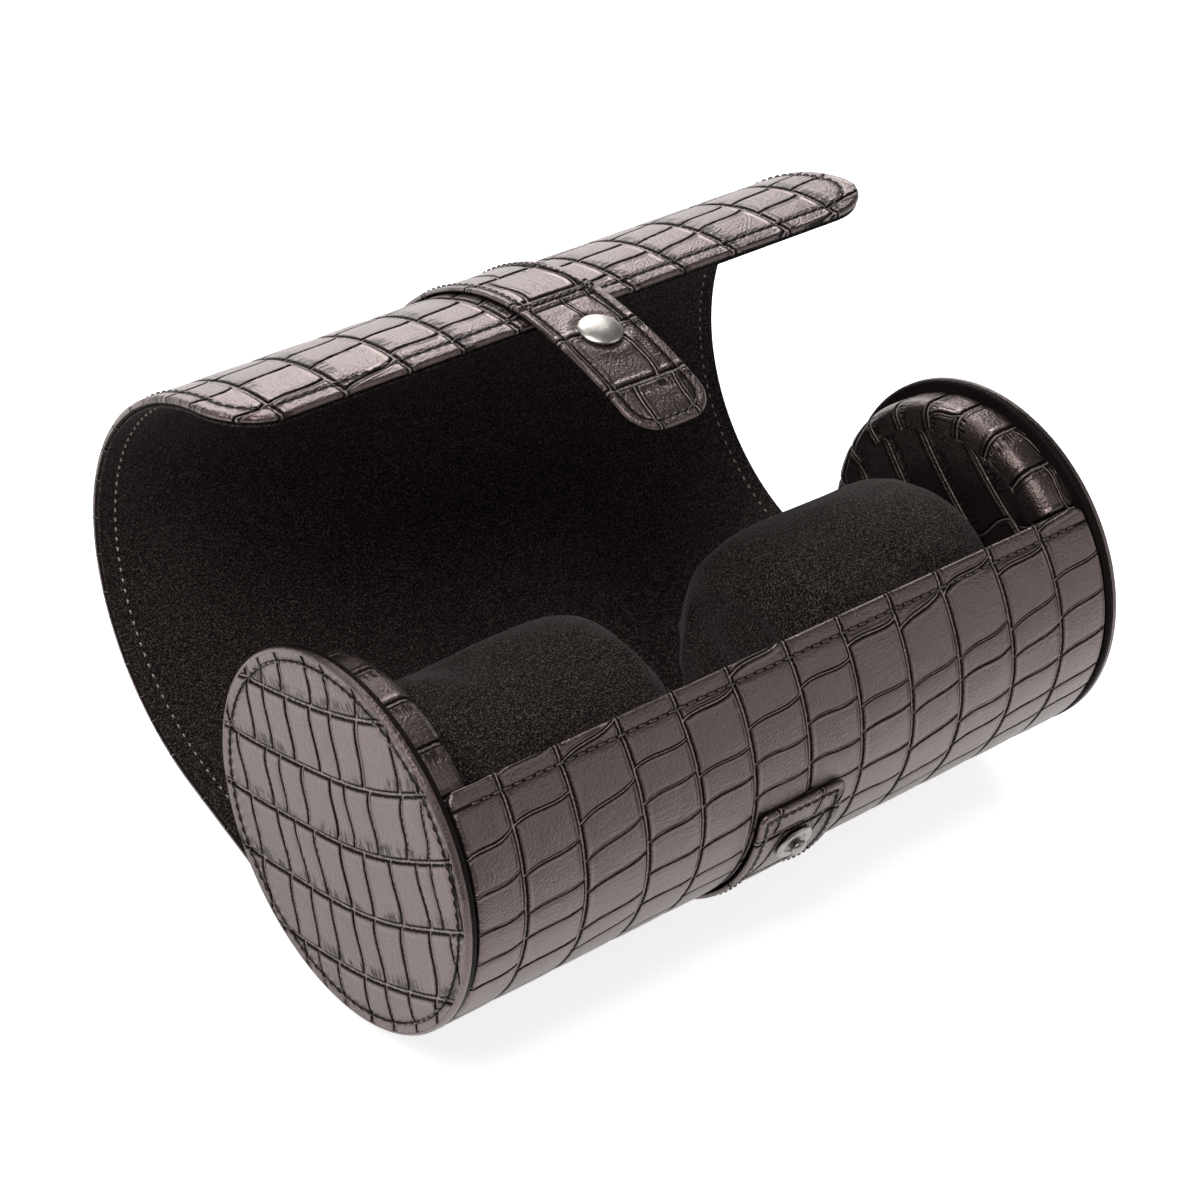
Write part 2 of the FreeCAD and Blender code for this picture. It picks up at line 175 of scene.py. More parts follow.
def make_object(name, points, quads, material, flat_map=None, marks=None):
    """An object from quads, with a flat map and the marks that its material reads."""
    used, quads = np.unique(quads, return_inverse=True)
    quads = quads.reshape(-1, 4)
    mesh = bpy.data.meshes.new(name)
    mesh.from_pydata(points[used].tolist(), [], quads.tolist())
    mesh.update(calc_edges=True)
    mesh.polygons.foreach_set("use_smooth", np.ones(len(quads), dtype=bool))
    if flat_map is not None:
        layer = mesh.uv_layers.new(name="flat")
        layer.data.foreach_set("uv", (flat_map[used][quads.ravel()] / MM).astype(np.float32).ravel())
    for mark, value in NO_MARKS.items():
        values = marks[mark][used] if marks and mark in marks else np.full(len(used), value)
        attribute = mesh.attributes.new(mark, "FLOAT", "POINT")
        attribute.data.foreach_set("value", values.astype(np.float32))
    mesh.validate()
    mesh.materials.append(material)
    return new_object(name, mesh)


def grid_faces(rows, columns, outward):
    """Quads of a grid of points, row by row, that face out of the wrap or into it."""
    index = np.arange(rows * columns).reshape(rows, columns)
    corners = [index[:-1, :-1], index[:-1, 1:], index[1:, 1:], index[1:, :-1]]
    quads = np.stack(corners, axis=-1).reshape(-1, 4)
    return quads[:, ::-1] if outward else quads


def full_turn(count):
    """Angles once round, evenly spaced."""
    return np.linspace(0, math.tau, count, endpoint=False)


def ring_faces(rings, turns, flipped):
    """Quads between closed rings of points."""
    index = np.arange(rings * turns).reshape(rings, turns)
    following = np.roll(index, -1, axis=1)
    quads = np.stack([index[:-1], following[:-1], following[1:], index[1:]], axis=-1).reshape(-1, 4)
    return quads[:, ::-1] if flipped else quads


SHARPEST_BEND = 0.3 * MM
BEND_POINTS = 12
EDGE_ROWS = 6


class Outline:
    """A strip laid flat, with rounded corners at its two ends."""

    def __init__(self, first, last, half, middle, first_corner, last_corner, taper=None):
        self.first, self.last, self.half, self.middle = first, last, half, middle
        self.ends = ((first, -1, first_corner), (last, 1, last_corner))
        self.taper = taper

    def full_half(self, s):
        if self.taper is None:
            return np.full(np.shape(s), self.half)
        start, end, start_half = self.taper
        share = np.clip((np.asarray(s) - start) / (end - start), 0, 1)
        return start_half + (self.half - start_half) * share * share * (3 - 2 * share)

    def half_at(self, s):
        trim = np.zeros(np.shape(s))
        for end, way, corner in self.ends:
            past = np.clip(way * (s - end) + corner, 0, corner)
            trim = np.maximum(trim, corner - np.sqrt(corner ** 2 - past ** 2))
        return self.full_half(s) - trim

    def to_edge(self, x, s):
        side = np.abs(x - self.middle)
        half = self.full_half(s)
        distance = np.minimum(np.minimum(half - side, s - self.first), self.last - s)
        for end, way, corner in self.ends:
            past = way * (s - end) + corner
            over = side - (half - corner)
            distance = np.where((past > 0) & (over > 0), corner - np.hypot(past, over), distance)
        return np.maximum(distance, 0)

    def rows(self, step, seams):
        """Places along the strip: fine at the rounded ends, and with a row on each seam."""
        (first, _, first_corner), (last, _, last_corner) = self.ends
        samples = [first + first_corner * eased(first_corner, step)]
        stops = [first + first_corner, *seams, last - last_corner]
        for start, end in zip(stops[:-1], stops[1:]):
            count = max(2, int(math.ceil((end - start) / step)) + 1)
            samples.append(np.linspace(start, end, count)[1:])
        samples.append(last - last_corner * eased(last_corner, step)[::-1][1:])
        return np.concatenate(samples)

    def columns(self, step, edge):
        """Places across the strip, from -1 to 1, fine at the rounded edges."""
        near = edge * eased(edge, step)
        count = int(math.ceil(2 * (self.half - edge) / step)) + 1
        across = np.linspace(-self.half + edge, self.half - edge, count)[1:-1]
        return np.concatenate([near - self.half, across, self.half - near[::-1]]) / self.half

    def u_path(self, inset, start, at_last=True):
        """A line set in from the edge: along one side, round an end and back along the other side."""
        end, way, corner = self.ends[1 if at_last else 0]
        half = self.half - inset
        bend = max(corner - inset, SHARPEST_BEND)
        turn_s = end - way * (inset + bend)
        angles = np.linspace(0, math.pi / 2, BEND_POINTS)
        side = half - bend + bend * np.cos(angles)
        right = np.stack([side, turn_s + way * bend * np.sin(angles)], axis=-1)
        left = right[::-1] * (-1, 1)
        path = np.concatenate([[(half, start)], right, left, [(-half, start)]])
        return path + (self.middle, 0)


def eased(length, step):
    """Shares from 0 to 1 that start slowly, for sampling a rounded edge."""
    count = max(EDGE_ROWS, int(round(length * math.pi / 2 / step)) + 1)
    return 1 - np.cos(np.linspace(0, math.pi / 2, count))


def sheet_pieces(name, outline, face_depth, back_depth, step, material, emboss, seams=(),
                 back_limit=math.inf):
    """Pieces of a sheet with rounded edges, cut at the seams; face and back are joined at the edge."""
    inwards = 1.0 if back_depth > face_depth else -1.0
    edge = abs(back_depth - face_depth) / 2
    rows = outline.rows(step, seams)
    columns = outline.columns(step, edge)
    s = np.repeat(rows, len(columns)).reshape(len(rows), -1)
    x = outline.middle + columns * outline.half_at(s)
    to_edge = outline.to_edge(x, s)
    drop = edge - np.sqrt(np.maximum(edge ** 2 - (edge - np.minimum(to_edge, edge)) ** 2, 0))
    relief = emboss(x, s, to_edge)
    face = wrap_point(x, s, face_depth + inwards * (drop + relief.dip * np.clip(to_edge / edge, 0, 1)))
    back = wrap_point(x, s, back_depth - inwards * drop)
    turned_under = {"seam": np.zeros_like(s)}
    cuts = [0, *[int(np.argmin(np.abs(rows - seam))) for seam in seams], len(rows) - 1]
    pieces = []
    for index, (start, end) in enumerate(zip(cuts[:-1], cuts[1:])):
        part = slice(start, end + 1)
        shape = s[part].shape
        front_index = np.arange(s[part].size).reshape(shape)
        on_rim = to_edge[part] < TINY
        back_index = np.where(on_rim, front_index, front_index + front_index.size)
        faces = grid_faces(*shape, outward=inwards > 0)
        back_faces = grid_faces(*shape, outward=inwards < 0)
        kept = (to_edge[part].ravel()[back_faces] <= back_limit).all(axis=1)
        pieces.append(make_object(
            f"{name}_{index + 1}" if len(cuts) > 2 else name,
            np.concatenate([face[part].reshape(-1, 3), back[part].reshape(-1, 3)]),
            np.concatenate([faces, back_index.ravel()[back_faces[kept]]]), material,
            np.tile(relief.flat_map[part].reshape(-1, 2), (2, 1)),
            {mark: np.concatenate([values[part].ravel(), turned_under.get(mark, values)[part].ravel()])
             for mark, values in relief.marks.items()}))
    return pieces


def bend_over(obj, index):
    """Bakes a piece of the wrap's place into its mesh; the span about the joint between two links is worked
    out but not used.
    """
    joint = JOINTS_S[index]
    reach = min(joint - SPANS[index], SPANS[index + 1] - joint)
    start = wrap_point(0.0, joint - reach, WRAP)
    end = wrap_point(0.0, joint + reach, WRAP)
    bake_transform(obj)


def bend_tongue(obj):
    """Bakes the strap end's place into its mesh; the span of its bend past the lid's edge is worked out but
    not used.
    """
    start = wrap_point(STRAP_X, STRAP_END, -STRAP / 2)
    end = wrap_point(STRAP_X, FREE_S + STITCH_INSET, -STRAP / 2)
    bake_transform(obj)


def punch(obj, centre, radius):
    """Cuts a round hole through a thin sheet."""
    sheet = bmesh.new()
    sheet.from_mesh(obj.data)
    inside = [vertex for vertex in sheet.verts if (vertex.co - Vector(centre)).length < radius]
    bmesh.ops.delete(sheet, geom=inside, context="VERTS")
    sheet.to_mesh(obj.data)
    sheet.free()


def oval_arc(turns, radius, height, half_width, half_height):
    """Part of an oval, as pairs of radius and height."""
    return [(radius + half_width * math.cos(turn), height + half_height * math.sin(turn)) for turn in turns]


def lathe(name, profile, centre, axis, material, turns=72):
    """A turned piece: pairs of radius and height along its axis, from the foot's middle to the top's."""
    axis = Vector(axis).normalized()
    side = axis.cross(Vector((1, 0, 0))).normalized()
    front = axis.cross(side)
    angles = full_turn(turns)
    around = np.outer(np.cos(angles), side) + np.outer(np.sin(angles), front)
    rings = [around * radius + np.array(axis) * height + np.array(centre) for radius, height in profile]
    return make_object(name, np.concatenate(rings), ring_faces(len(profile), turns, False), material)


# Embossed scales, with their sizes in millimetres

PATTERN_REACH = 312.0
LINE_SPREAD = 0.05
CROSS_SPREAD = 0.28
CROSS_SHIFT = 0.5
CROSS_SCATTER = 0.14
CROSS_TILT = 0.9
CROSS_SWAY = (0.9, 2.0)

# Height and length of the wobbles, in this order
LINE_WOBBLE = (0.4, 60)
CROSS_WOBBLE = (0.5, 24)
SCALE_WOBBLE = (0.03, 15)
COMB_WOBBLE = (0.6, 17)
WAVES = 5
WAVE_LENGTHS = (0.7, 1.5)
WAVE_LEVEL = 2.2

# Depth and half width of the grooves, and of a scale's fall towards them
LINE_GROOVE = (0.42, 0.6)
CROSS_GROOVE = (0.34, 0.5)
LINE_FALL = (0.16, 1.4)
CROSS_FALL = (0.13, 1.2)
SCALE_DIP = 0.03
COMB_REACH = 3.2
COMB_LEVEL = 0.7

SKIN_SCALES = {"seed": 11, "wide": 14.4, "tall": 9.8, "origin": -1.2}
STRAP_SCALES = {"seed": 29, "wide": 15.8, "tall": 8.6, "deep": 0.8, "origin": FREE_S / MM + 9.3}
BAND_SCALES = {"wide": 10.5, "tall": 26.0}
FACE_SCALES = {"wide": 14.4, "tall": 7.9, "stagger": 0.3}
INNER_SCALES = {"wide": 12.5, "tall": 34.0, "stagger": 0.3}


def waves(u, v, rng, amount, length):
    """A smooth random wobble, made of a few sine waves."""
    total = np.zeros_like(u)
    for _ in range(WAVES):
        heading = rng.uniform(0, math.tau)
        wave = length * rng.uniform(*WAVE_LENGTHS)
        phase = rng.uniform(0, math.tau)
        total += np.sin(math.tau * (u * math.cos(heading) + v * math.sin(heading)) / wave + phase)
    return amount * total / WAVE_LEVEL


def valley(distance, depth, width):
    """Depth of a rounded groove at a distance from its middle."""
    return depth * np.exp(-(distance / width) ** 2)


class Relief:
    """Emboss of a surface: its dip in metres, its flat map, and the marks that the material reads."""

    def __init__(self, dip, flat_map, **marks):
        self.dip, self.flat_map, self.marks = dip, flat_map, marks


def uneven(rng, spacing, unevenness, origin=0.0):
    """Places on both sides of the origin, a little unevenly spaced, one of them at the origin."""
    count = int(PATTERN_REACH / spacing)
    ahead = np.cumsum(spacing * rng.uniform(1 - unevenness, 1 + unevenness, count))
    behind = np.cumsum(spacing * rng.uniform(1 - unevenness, 1 + unevenness, count))
    return origin + np.concatenate([-behind[::-1], [0], ahead])


def scales(u, v, seed, wide, tall, origin, stagger):
    """Signed distances from the grooves of a scale pattern, and a point's place between two long grooves.

    Long grooves run along v, one near the origin; cross grooves are staggered from column to column.
    Distances are true near a groove and smaller farther away.
    """
    rng = np.random.default_rng(seed)
    across = u + waves(u, v, rng, *LINE_WOBBLE)
    along = v + waves(u, v, rng, *CROSS_WOBBLE)
    lines = uneven(rng, wide, LINE_SPREAD, origin)
    column = np.clip(np.searchsorted(lines, across), 1, len(lines) - 1)
    share = (across - lines[column - 1]) / (lines[column] - lines[column - 1])
    line = np.sin(math.pi * (column + share)) * wide / math.pi
    cross = np.zeros_like(across)
    shared = uneven(rng, tall, CROSS_SPREAD)
    for index in range(1, len(lines)):
        shift = tall * stagger * rng.uniform(-CROSS_SHIFT, CROSS_SHIFT)
        crossings = shared + shift + tall * rng.uniform(-CROSS_SCATTER, CROSS_SCATTER, len(shared))
        tilt = rng.uniform(-CROSS_TILT, CROSS_TILT)
        sway = rng.uniform(*CROSS_SWAY)
        inside = column == index
        offset = 2 * share[inside] - 1
        place = along[inside] + tilt * offset + sway * offset ** 3
        row = np.clip(np.searchsorted(crossings, place), 1, len(crossings) - 1)
        fraction = (place - crossings[row - 1]) / (crossings[row] - crossings[row - 1])
        cross[inside] = np.sin(math.pi * (row + fraction)) * tall / math.pi
    return line, cross, share


def scale_relief(u, v, seed, wide, tall, deep=1.0, origin=0.0, stagger=1.0):
    """The emboss of scales on a surface laid flat, with long grooves along v."""
    shape = u.shape
    flat_map = np.stack([u, v], axis=-1)
    u, v = u.ravel() / MM, v.ravel() / MM
    line, cross, share = scales(u, v, seed, wide, tall, origin, stagger)
    rng = np.random.default_rng(seed + 1)
    dip = np.maximum(valley(line, *LINE_GROOVE), valley(cross, *CROSS_GROOVE))
    for distance, (depth, width) in ((line, LINE_FALL), (cross, CROSS_FALL)):
        dip = dip + depth * np.exp(-np.abs(distance) / width)
    dip = np.maximum(dip + SCALE_DIP + waves(u, v, rng, *SCALE_WOBBLE), 0)
    comb = valley(share * wide, 1.0, COMB_REACH) * np.clip(COMB_LEVEL + waves(u, v, rng, *COMB_WOBBLE), 0, 1)
    marks = {"line": line, "cross": cross, "comb": comb}
    return Relief((dip * MM * deep).reshape(shape), flat_map,
                  **{mark: values.reshape(shape) for mark, values in marks.items()})


# Depth and half width of the channel that a row of stitches draws into the surface
CHANNEL = (0.30 * MM, 0.7 * MM)
FRONT_FINENESS = 0.22
STRAP_BORDER = 1.5 * MM
BORDER_SLOPE = 1.2 * MM
BORDER_RISE = 0.16 * MM
BORDER_EMBOSS = 0.35
SOCKET_RING = 6.6 * MM
SOCKET_RISE = (0.28 * MM, 1.3 * MM)


def skin_emboss(x, s, to_edge):
    """Scales of the skin, finer and without wrinkles on the front wall, with channels for the stitches."""
    relief = scale_relief(x, s, **SKIN_SCALES)
    lid = np.clip((s - HINGE_A_Y) / FLAT, 0, 1)
    seam = np.where(s < 0, s - FRONT_S, to_edge + 2 * FLAT * (1 - lid)) - STITCH_INSET
    relief.dip += valley(seam, *CHANNEL)
    relief.marks["seam"] = seam / MM
    relief.marks["comb"] = relief.marks["comb"] * lid
    for mark in ("line", "cross"):
        relief.marks[mark] = relief.marks[mark] * (1 + FRONT_FINENESS * (1 - lid))
    return relief


def strap_emboss(x, s, to_edge):
    """Scales with their long grooves across the strap, inside a border that stands a little proud."""
    relief = scale_relief(s, x, **STRAP_SCALES)
    inside = np.clip((to_edge - STRAP_BORDER) / BORDER_SLOPE, 0, 1)
    relief.dip = relief.dip * (BORDER_EMBOSS + (1 - BORDER_EMBOSS) * inside) + BORDER_RISE * inside
    relief.dip += valley(to_edge - STRAP_STITCH, *CHANNEL)
    relief.marks["seam"] = (to_edge - STRAP_STITCH) / MM
    return relief


def tongue_emboss(x, s, to_edge):
    """The strap's emboss, pressed up in a ring by the snap's socket and drawn in by stitches across it."""
    relief = strap_emboss(x, s, to_edge)
    from_snap = np.hypot(x - STRAP_X, s - SNAP_S)
    relief.dip -= valley(from_snap - SOCKET_RING, *SOCKET_RISE)
    across = s - STRAP_END
    relief.dip += valley(across, *CHANNEL)
    nearer = np.abs(across / MM) < np.abs(relief.marks["seam"])
    relief.marks["seam"] = np.where(nearer, across / MM, relief.marks["seam"])
    return relief


def plain(x, s, to_edge):
    """No emboss."""
    return Relief(np.zeros_like(x), np.stack([s, x], axis=-1))


# Materials

# Places of the colour sockets on a mix node
FIRST_COLOUR = 6
SECOND_COLOUR = 7
MIXED_COLOUR = 2


def node_material(name):
    material = bpy.data.materials.new(name)
    material.use_nodes = True
    tree = material.node_tree
    return material, tree, tree.nodes["Principled BSDF"]


def set_inputs(tree, node, inputs):
    """Links the inputs that are given a socket, and sets the others."""
    for key, value in inputs.items():
        if isinstance(value, bpy.types.NodeSocket):
            tree.links.new(value, node.inputs[key])
        else:
            node.inputs[key].default_value = value


def add_node(tree, kind, inputs=None, **settings):
    node = tree.nodes.new(f"ShaderNode{kind}")
    for key, value in settings.items():
        setattr(node, key, value)
    set_inputs(tree, node, inputs or {})
    return node


def add_bump(tree, shader, height, strength, distance):
    bump = add_node(tree, "Bump", {"Height": height, "Strength": strength, "Distance": distance})
    tree.links.new(bump.outputs["Normal"], shader.inputs["Normal"])


def mix_colour(tree, share, first, second):
    inputs = {"Factor": share, FIRST_COLOUR: first, SECOND_COLOUR: second}
    return add_node(tree, "Mix", inputs, data_type="RGBA").outputs[MIXED_COLOUR]


def spread(tree, value, low, high):
    """Low where the value is 0 and high where it is 1."""
    inputs = {"Value": value, "To Min": low, "To Max": high}
    return add_node(tree, "MapRange", inputs).outputs["Result"]


def ramp(tree, value, start, end):
    """0 before start and 1 past end, with a smooth change between; end may be below start."""
    inputs = {"Value": value, "From Min": start, "From Max": end}
    return add_node(tree, "MapRange", inputs, interpolation_type="SMOOTHSTEP").outputs["Result"]


def maths(tree, operation, *values):
    return add_node(tree, "Math", dict(enumerate(values)), operation=operation).outputs[0]


def noise(tree, place, scale, detail):
    inputs = {"Vector": place, "Scale": scale, "Detail": detail}
    return add_node(tree, "TexNoise", inputs).outputs["Fac"]


def flat_noise(tree, stretch, scale, detail):
    """Noise on the flat map, in waves of about 1 / scale millimetres, stretched along and across."""
    flat = add_node(tree, "UVMap", uv_map="flat").outputs["UV"]
    place = add_node(tree, "Mapping", {"Vector": flat, "Scale": (*stretch, 1)}).outputs["Vector"]
    return noise(tree, place, scale, detail)


def solid_noise(tree, scale, detail):
    """Noise through an object, in waves of about 1 / scale metres."""
    return noise(tree, add_node(tree, "TexCoord").outputs["Object"], scale, detail)


# Leatherette: how its grooves are drawn
LINE_SHARPNESS = 1.05
CROSS_SHARPNESS = 1.6
GROOVE_BLEND = 0.7
RAGGED = 0.5
PALE = 0.85
TOOTH_SHADE = 0.8

# Distances from a groove or seam in millimetres, between which a change happens
PALE_INSIDE = (0.36, 0.06)
SHADE_FROM = (0.12, 0.36)
SHADE_TO = (1.15, 0.6)
SEAM_SHADE = (0.5, 0.2)
GROOVE_WALL = (0.0, 0.8)
LIP_FROM = (0.5, 1.0)
LIP_TO = (2.2, 1.1)

# The same for a noise or a mark
TEETH = (0.47, 0.58)
COMBED = (0.15, 0.5)
WRINKLED = (0.42, 0.62)

# Shares of the finest relief, and its depth
PORE_RELIEF = 0.75
WRINKLE_RELIEF = 0.6
TOOTH_RELIEF = 0.8
LIP_RELIEF = 0.5
GROOVE_RELIEF = 1.3
FINE_RELIEF = 0.34 * MM
SCALE_DARK = (0.005, 0.0036, 0.0034, 1)
SCALE_LIGHT = (0.014, 0.0102, 0.0096, 1)
# Colour of the painted highlight inside the grooves, where their edges would catch the light
GROOVE_HIGHLIGHT = (0.19, 0.158, 0.15, 1)
WARM_SHINE = (1.0, 0.76, 0.73, 1)


def leather():
    """Semi-gloss leatherette: near-black wrinkled scales, with a painted highlight inside each groove and
    painted shade, as lost shine, on both sides of it.
    """
    material, tree, shader = node_material("leatherette")
    marks = {}
    for mark in NO_MARKS:
        marks[mark] = add_node(tree, "Attribute", attribute_name=mark).outputs["Fac"]
    pores = flat_noise(tree, stretch=(1, 1), scale=1.7, detail=5.0)
    folds = flat_noise(tree, stretch=(0.16, 1.3), scale=1.0, detail=3.0)
    teeth = flat_noise(tree, stretch=(0.20, 1.25), scale=1.0, detail=2.0)
    patches = flat_noise(tree, stretch=(1, 1), scale=0.09, detail=3.0)
    ragged = maths(tree, "MULTIPLY_ADD", pores, RAGGED, -RAGGED / 2)
    to_line = maths(tree, "MULTIPLY_ADD", maths(tree, "ABSOLUTE", marks["line"]), LINE_SHARPNESS, ragged)
    to_cross = maths(tree, "MULTIPLY_ADD", maths(tree, "ABSOLUTE", marks["cross"]), CROSS_SHARPNESS, ragged)
    to_groove = maths(tree, "SMOOTH_MIN", to_line, to_cross, GROOVE_BLEND)
    # Painted highlight: the middle of each groove takes the pale highlight colour
    pale = maths(tree, "MULTIPLY", ramp(tree, to_groove, *PALE_INSIDE), PALE)
    # Painted shade: the shine is taken away on both sides of each groove, so they look dark
    groove_shade = maths(tree, "MULTIPLY", ramp(tree, to_groove, *SHADE_FROM), ramp(tree, to_groove, *SHADE_TO))
    sewn = ramp(tree, maths(tree, "ABSOLUTE", marks["seam"]), *SEAM_SHADE)
    tooth = maths(tree, "MULTIPLY", ramp(tree, teeth, *TEETH), ramp(tree, marks["comb"], *COMBED))
    # Painted shade in the hollows of the combed wrinkles, by taking their shine away
    between = maths(tree, "MULTIPLY", tooth, TOOTH_SHADE)
    shade = maths(tree, "MAXIMUM", maths(tree, "MAXIMUM", groove_shade, sewn), between)
    colour = mix_colour(tree, patches, SCALE_DARK, SCALE_LIGHT)
    set_inputs(tree, shader, {
        "Base Color": mix_colour(tree, pale, colour, GROOVE_HIGHLIGHT),
        "Roughness": spread(tree, pores, 0.22, 0.46),
        "Specular IOR Level": spread(tree, shade, 1.0, 0.02),
        "Specular Tint": WARM_SHINE,
        "IOR": 1.65,
    })
    wrinkles = maths(tree, "MULTIPLY", folds, ramp(tree, patches, *WRINKLED))
    skin = maths(tree, "MULTIPLY_ADD", pores, PORE_RELIEF, maths(tree, "MULTIPLY", wrinkles, WRINKLE_RELIEF))
    combed = maths(tree, "MULTIPLY_ADD", tooth, -TOOTH_RELIEF, skin)
    lip = maths(tree, "MULTIPLY", ramp(tree, to_groove, *LIP_FROM), ramp(tree, to_groove, *LIP_TO))
    groove = maths(tree, "MULTIPLY_ADD", lip, LIP_RELIEF, ramp(tree, to_groove, *GROOVE_WALL))
    height = maths(tree, "MULTIPLY_ADD", groove, GROOVE_RELIEF, combed)
    add_bump(tree, shader, height, strength=1.0, distance=FINE_RELIEF)
    return material


PILE_TIPS = (0.40, 0.72)
TIP_FALL = 1.6
PILE_DARK = (0.005, 0.0036, 0.0035, 1)
PILE_LIGHT = (0.10, 0.074, 0.07, 1)
THREAD_SHADE = 0.5


def velvet():
    """Short pile velvet: almost black, with a fine speckle and a faint sheen."""
    material, tree, shader = node_material("velvet")
    pile = solid_noise(tree, scale=2900.0, detail=2.0)
    speckle = maths(tree, "POWER", ramp(tree, pile, *PILE_TIPS), TIP_FALL)
    set_inputs(tree, shader, {
        "Base Color": mix_colour(tree, speckle, PILE_DARK, PILE_LIGHT),
        "Sheen Weight": spread(tree, solid_noise(tree, scale=50.0, detail=3.0), 0.03, 0.12),
        "Sheen Roughness": 0.45,
        "Sheen Tint": (1.0, 0.93, 0.91, 1),
        "Roughness": 0.95,
        "Specular IOR Level": 0.08,
    })
    add_bump(tree, shader, pile, strength=0.8, distance=0.3 * MM)
    return material


def thread(name, colour):
    """Twisted thread with a slight gloss."""
    material, tree, shader = node_material(name)
    twist = solid_noise(tree, scale=5200.0, detail=2.0)
    shadow = [THREAD_SHADE * value for value in colour]
    set_inputs(tree, shader, {
        "Base Color": mix_colour(tree, twist, (*shadow, 1), (*colour, 1)),
        "Roughness": 0.3,
        "Specular IOR Level": 1.0,
        "Specular Tint": (1.0, 0.82, 0.79, 1),
    })
    add_bump(tree, shader, twist, strength=0.4, distance=0.1 * MM)
    return material


def nickel(name, dark, light):
    """Satin nickel with fine tumbling marks."""
    material, tree, shader = node_material(name)
    tumbled = solid_noise(tree, scale=1600.0, detail=4.0)
    clouds = solid_noise(tree, scale=300.0, detail=2.0)
    set_inputs(tree, shader, {
        "Base Color": mix_colour(tree, clouds, (*dark, 1), (*light, 1)),
        "Metallic": 1.0,
        "Roughness": spread(tree, tumbled, 0.24, 0.5),
    })
    add_bump(tree, shader, tumbled, strength=0.25, distance=0.08 * MM)
    return material


def fibre(name, dark, light, scale):
    """Board or foam, hidden inside the covered pieces."""
    material, tree, shader = node_material(name)
    grain = mix_colour(tree, solid_noise(tree, scale, detail=5.0), (*dark, 1), (*light, 1))
    set_inputs(tree, shader, {"Base Color": grain, "Roughness": 0.9})
    return material


LEATHER = leather()
VELVET = velvet()
NICKEL = nickel("nickel", (0.44, 0.41, 0.38), (0.64, 0.61, 0.57))
DULL_NICKEL = nickel("dull_nickel", (0.20, 0.185, 0.17), (0.36, 0.34, 0.315))
BLACK_THREAD = thread("black_thread", (0.016, 0.014, 0.014))
PALE_THREAD = thread("pale_thread", (0.42, 0.38, 0.35))
BOARD = fibre("board", (0.34, 0.31, 0.27), (0.48, 0.45, 0.39), scale=900.0)
FOAM = fibre("foam", (0.52, 0.51, 0.48), (0.66, 0.65, 0.61), scale=500.0)
FINISHES = {"leatherette": LEATHER, "velvet": VELVET, "nickel": NICKEL, "board": BOARD, "foam": FOAM}
for subpart in frame["record"]["subparts"]:
    node = frame["nodes"][subpart["node"]]
    node.data.materials.clear()
    node.data.materials.append(FINISHES[subpart["material_slot"]])

# Wrap: skin with its boards, velvet lining, strap

SKIN_STEP = 0.45 * MM
LINING_STEP = 1.2 * MM
STRAP_STEP = 0.5 * MM
TURNED = 2.6 * MM
CORE = WRAP - LINING
LINING_INSET = 0.25 * MM
LINING_SEED = 5
LINING_WOBBLE = (0.3, 38)
LINING_LEVEL = 0.5
LINING_WAVE = 0.12 * MM
LINING_DENT = (0.22 * MM, 0.9 * MM)


def velvet_relief(x, s, to_edge):
    """The lining's slight waviness, and the dent where it is sewn near its edge."""
    rng = np.random.default_rng(LINING_SEED)
    wavy = LINING_LEVEL + waves(x.ravel() / MM, s.ravel() / MM, rng, *LINING_WOBBLE).reshape(x.shape)
    lid = np.clip((s - FLAT) / FLAT, 0, 1)
    dent = valley(to_edge - STITCH_INSET + LINING_INSET, *LINING_DENT) * lid
    return Relief(LINING_WAVE * np.clip(wavy, 0, 1) + dent, np.stack([x, s], axis=-1))


wrap_outline = Outline(FRONT_S, FREE_S, HALF_WRAP, 0.0, FRONT_CORNER, LID_CORNER)
lining_outline = Outline(FRONT_S + LINING_INSET, FREE_S - LINING_INSET, HALF_WRAP - LINING_INSET, 0.0,
                         FRONT_CORNER - LINING_INSET, LID_CORNER - LINING_INSET)
strap_taper = (0.0, HINGE_A_Y, TAB_HALF)
strap_outline = Outline(TAB_S, STRAP_END, STRAP_HALF, STRAP_X, TAB_CORNER, 0.0, strap_taper)
skins = sheet_pieces("wrap_skin", wrap_outline, 0.0, CORE, SKIN_STEP, LEATHER, skin_emboss, SEAMS, TURNED)
linings = sheet_pieces("wrap_lining", lining_outline, WRAP, CORE, LINING_STEP, VELVET, velvet_relief, SEAMS)
straps = sheet_pieces("strap", strap_outline, -STRAP, 0.0, STRAP_STEP, LEATHER, strap_emboss, SEAMS)
for index, link in enumerate(CHAIN[:-1]):
    following = CHAIN[index + 1]
    for pieces, layers in ((skins, ("skin", "board")), (linings, ("lining",)), (straps, ("strap",))):
        names = [f"{body}_{layer}" for body in (link, following) for layer in layers]
        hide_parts(*[name for name in names if name in frame["nodes"]])
        bend_over(pieces[index], index)

# Tongue: the strap's end, its backing, and the snap

BACKING_STEP = 0.8 * MM
BACKING_CORNER = 0.8 * MM
tongue_outline = Outline(STRAP_END, FREE_S + TONGUE_LENGTH, STRAP_HALF, STRAP_X, 0.0, TONGUE_CORNER)
tongue = sheet_pieces("tongue", tongue_outline, -STRAP, 0.0, STRAP_STEP, LEATHER, tongue_emboss)[0]
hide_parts("tongue_strap")
bend_tongue(tongue)
backing_outline = Outline(FREE_S + BACKING_START, FREE_S + TONGUE_LENGTH - BACKING_INSET,
                          STRAP_HALF - BACKING_INSET, STRAP_X, BACKING_CORNER, TONGUE_CORNER)
backing = sheet_pieces("tongue_lining", backing_outline, BACKING, 0.0, BACKING_STEP, LEATHER, plain)[0]
punch(backing, wrap_point(STRAP_X, SNAP_S, 0.0), RIVET_RADIUS)
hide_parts("tongue_backing")
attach(backing, "tongue")

